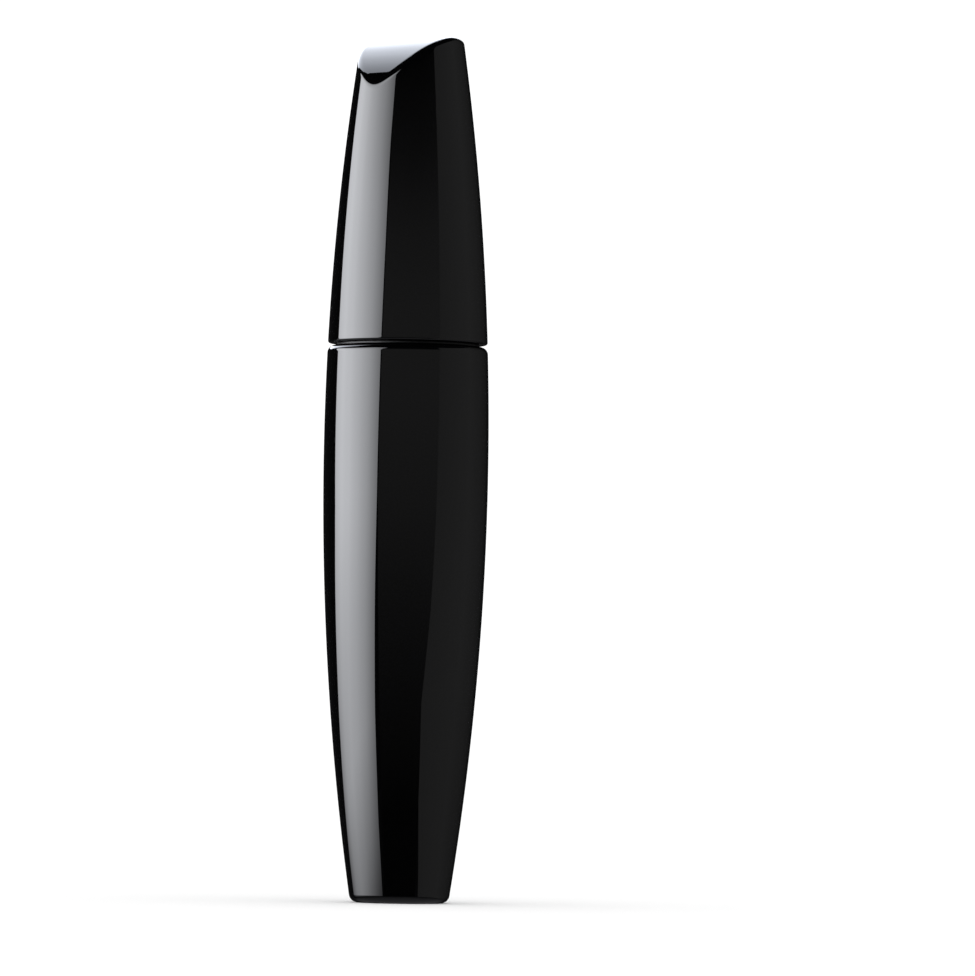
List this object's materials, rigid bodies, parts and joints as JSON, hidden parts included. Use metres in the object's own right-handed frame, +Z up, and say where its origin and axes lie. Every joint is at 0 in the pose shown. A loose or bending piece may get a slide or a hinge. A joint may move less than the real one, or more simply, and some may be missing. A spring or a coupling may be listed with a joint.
{
  "type": "mascara tube",
  "caption": "Spindle-shaped screw-cap mascara tube with a slanted, rolled-over cap top and a twisted-wire brush wand inside.",
  "frame": {"origin": "centre of the base, on the plane that the tube stands on", "axes": "+Z up the tube's axis to the cap's top, -X towards the low side of the cap's slanted cut, +X towards its high side"},
  "size_m": [0.0225, 0.0224, 0.118],
  "materials": {
    "gloss_black": "polished piano black",
    "label_film": "satin blank film",
    "vial_plastic": "satin moulded",
    "collar_black": "gloss moulded",
    "wiper_plastic": "translucent soft plastic",
    "mascara_black": "wet cream",
    "washer_foam": "matte soft",
    "inner_cap_plastic": "satin moulded",
    "stem_plastic": "satin moulded",
    "wire_steel": "drawn wire",
    "bristle_nylon": "fine nylon fibre"
  },
  "bodies": {
    "bottle": {"bottle_shell": "gloss_black", "base_label": "label_film", "inner_vial": "vial_plastic", "shoulder_collar": "collar_black", "wiper": "wiper_plastic", "mascara_fill": "mascara_black"},
    "seal": {"sealing_washer": "washer_foam"},
    "cap": {"cap_shell": "gloss_black", "inner_cap": "inner_cap_plastic", "wand_stem": "stem_plastic", "brush_wire": "wire_steel", "bristles": "bristle_nylon"}
  },
  "joints": [
    {"name": "wand_lift", "type": "slide", "parent": "bottle", "child": "seal", "axis": [0, 0, 1], "range_m": [0, 0.085], "deforming": ["bristles"]},
    {"name": "cap_turn", "type": "hinge", "parent": "seal", "child": "cap", "pos_m": [0, 0, 0.0915], "axis": [0, 0, 1], "range_deg": [0, 540]}
  ]
}
